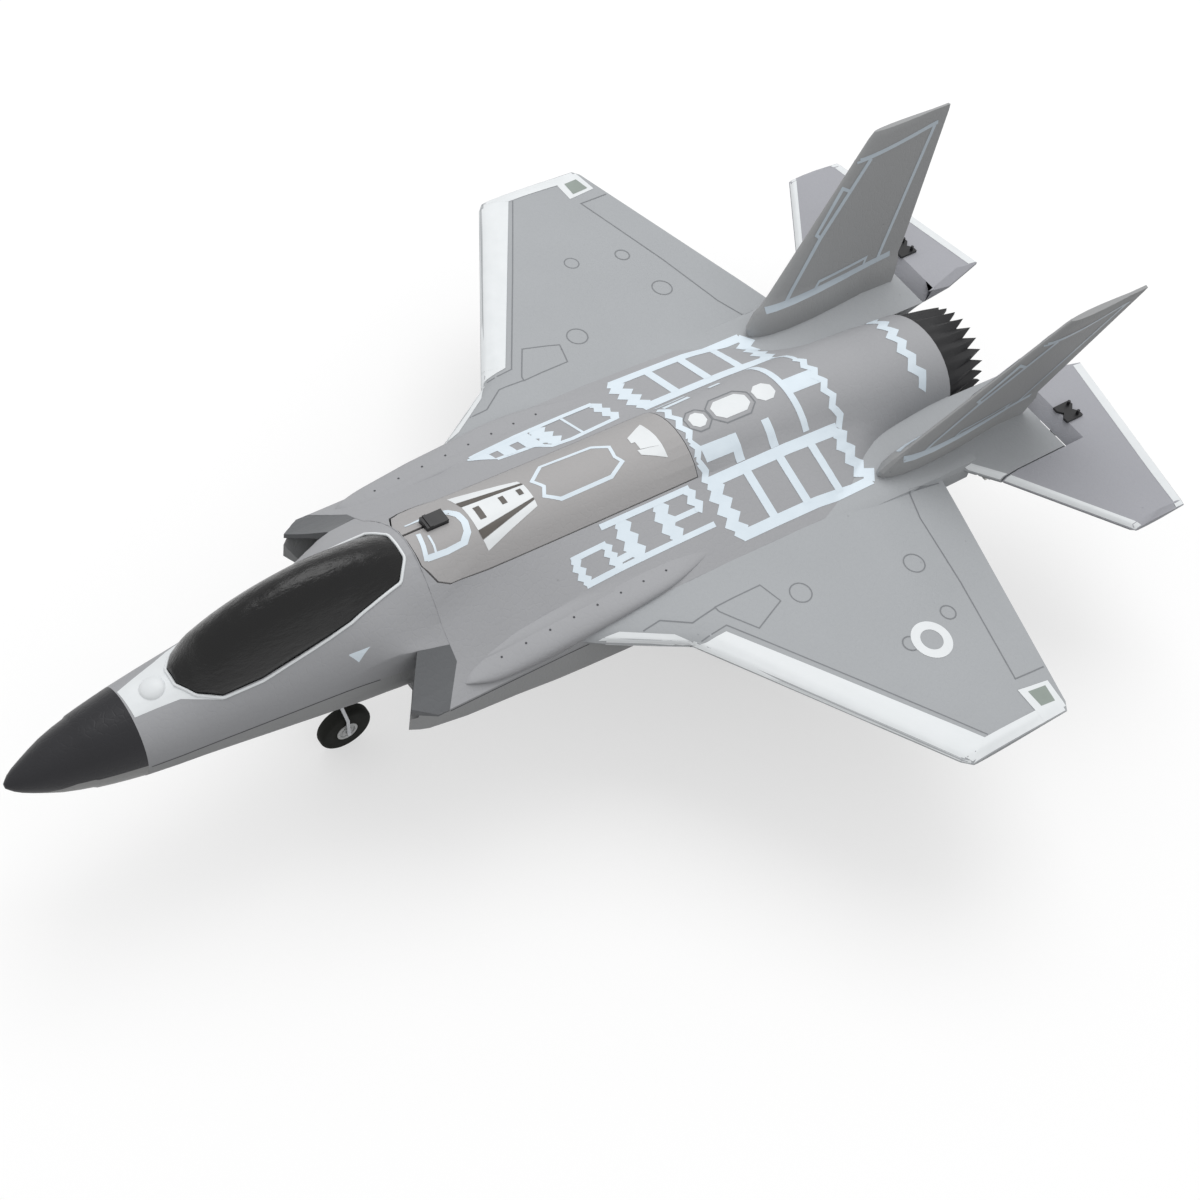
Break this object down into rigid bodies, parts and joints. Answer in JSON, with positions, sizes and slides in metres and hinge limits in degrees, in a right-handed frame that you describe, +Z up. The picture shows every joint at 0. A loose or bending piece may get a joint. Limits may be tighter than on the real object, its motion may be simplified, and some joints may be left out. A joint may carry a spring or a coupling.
{
  "type": "radio-controlled jet aircraft",
  "caption": "foam model jet with canted twin fins, lifting battery hatch, working elevators on pushrods, pusher propellers and wheeled wire undercarriage",
  "frame": {"origin": "the middle of the bounding box on the ground plane, under the fuselage", "axes": "+X to the aircraft's left (port) wing tip, +Y aft towards the tail, +Z up"},
  "size_m": [0.295, 0.425, 0.1448],
  "materials": {
    "foam": "painted expanded foam, fine bead texture",
    "dark_foam": "satin black paint over foam",
    "intake_foam": "dark grey painted foam",
    "canopy_plastic": "glossy black vacuum-formed shell",
    "nozzle_plastic": "matt black moulded plastic",
    "black_plastic": "moulded black plastic",
    "white_plastic": "moulded white nylon",
    "prop_plastic": "light grey flexible plastic",
    "hub_plastic": "light grey moulded plastic",
    "pod_plastic": "grey moulded plastic",
    "motor_can": "plated steel can",
    "wire": "drawn spring steel wire",
    "servo_case": "translucent-look blue plastic case",
    "battery_wrap": "blue shrink wrap",
    "circuit_board": "green solder resist",
    "carbon": "pultruded carbon tube",
    "tyre": "soft black foam rubber"
  },
  "bodies": {
    "airframe": {"nose_cone": "dark_foam", "fuselage_upper": "foam", "fuselage_lower": "foam", "canopy": "canopy_plastic", "battery": "battery_wrap", "receiver_board": "circuit_board", "intake_lip_left": "intake_foam", "intake_lip_right": "intake_foam", "exhaust_nozzle": "nozzle_plastic", "wing_left": "foam", "wing_right": "foam", "wing_spar": "carbon", "fin_left": "foam", "fin_right": "foam", "servo_left": "servo_case", "servo_right": "servo_case", "motor_pod_left": "pod_plastic", "motor_pod_right": "pod_plastic", "motor_left": "motor_can", "motor_right": "motor_can", "nose_gear_socket": "black_plastic", "nose_gear_wire": "wire", "main_gear_plate": "black_plastic", "main_gear_wire": "wire", "wheel_collars": "black_plastic"},
    "hatch": {"battery_hatch": "foam", "hatch_tab": "black_plastic"},
    "nose_wheel": {"nose_hub": "hub_plastic", "nose_tyre": "tyre"},
    "elevator_left_panel": {"elevator_left": "foam", "elevator_horn_left": "black_plastic"},
    "servo_arm_left_lever": {"servo_arm_left": "white_plastic"},
    "pushrod_left_wire": {"pushrod_left": "wire"},
    "propeller_left_blades": {"propeller_left": "prop_plastic"},
    "main_wheel_left": {"main_hub_left": "hub_plastic", "main_tyre_left": "tyre"},
    "elevator_right_panel": {"elevator_right": "foam", "elevator_horn_right": "black_plastic"},
    "servo_arm_right_lever": {"servo_arm_right": "white_plastic"},
    "pushrod_right_wire": {"pushrod_right": "wire"},
    "propeller_right_blades": {"propeller_right": "prop_plastic"},
    "main_wheel_right": {"main_hub_right": "hub_plastic", "main_tyre_right": "tyre"}
  },
  "joints": [
    {"name": "hatch_hinge", "type": "hinge", "parent": "airframe", "child": "hatch", "pos_m": [0, 0.0337, 0.1005], "axis": [1, 0, 0], "range_deg": [-75, 0]},
    {"name": "nose_wheel_spin", "type": "hinge", "parent": "airframe", "child": "nose_wheel", "pos_m": [0, -0.0925, 0.01], "axis": [1, 0, 0], "continuous": true},
    {"name": "elevator_left_hinge", "type": "hinge", "parent": "airframe", "child": "elevator_left_panel", "pos_m": [0.0488, 0.18, 0.0716], "axis": [1, 0, 0], "range_deg": [-25, 25]},
    {"name": "servo_arm_left_turn", "type": "hinge", "parent": "airframe", "child": "servo_arm_left_lever", "pos_m": [0.0488, 0.1529, 0.0696], "axis": [1, 0, 0], "range_deg": [-25, 25]},
    {"name": "pushrod_left_pivot", "type": "hinge", "parent": "servo_arm_left_lever", "child": "pushrod_left_wire", "pos_m": [0.0488, 0.1529, 0.0596], "axis": [1, 0, 0], "range_deg": [-25, 25]},
    {"name": "propeller_left_spin", "type": "hinge", "parent": "airframe", "child": "propeller_left_blades", "pos_m": [0.052, 0.1265, 0.0386], "axis": [0, 1, 0], "continuous": true},
    {"name": "main_wheel_left_spin", "type": "hinge", "parent": "airframe", "child": "main_wheel_left", "pos_m": [0.04, 0.0555, 0.01], "axis": [1, 0, 0], "continuous": true},
    {"name": "elevator_right_hinge", "type": "hinge", "parent": "airframe", "child": "elevator_right_panel", "pos_m": [-0.0488, 0.18, 0.0716], "axis": [1, 0, 0], "range_deg": [-25, 25]},
    {"name": "servo_arm_right_turn", "type": "hinge", "parent": "airframe", "child": "servo_arm_right_lever", "pos_m": [-0.0488, 0.1529, 0.0696], "axis": [1, 0, 0], "range_deg": [-25, 25]},
    {"name": "pushrod_right_pivot", "type": "hinge", "parent": "servo_arm_right_lever", "child": "pushrod_right_wire", "pos_m": [-0.0488, 0.1529, 0.0596], "axis": [1, 0, 0], "range_deg": [-25, 25]},
    {"name": "propeller_right_spin", "type": "hinge", "parent": "airframe", "child": "propeller_right_blades", "pos_m": [-0.052, 0.1265, 0.0386], "axis": [0, 1, 0], "continuous": true},
    {"name": "main_wheel_right_spin", "type": "hinge", "parent": "airframe", "child": "main_wheel_right", "pos_m": [-0.04, 0.0555, 0.01], "axis": [1, 0, 0], "continuous": true}
  ],
  "couplings": [
    {"joint": "servo_arm_left_turn", "follows": "elevator_left_hinge", "ratio": 1},
    {"joint": "pushrod_left_pivot", "follows": "elevator_left_hinge", "ratio": -1},
    {"joint": "servo_arm_right_turn", "follows": "elevator_right_hinge", "ratio": 1},
    {"joint": "pushrod_right_pivot", "follows": "elevator_right_hinge", "ratio": -1}
  ]
}
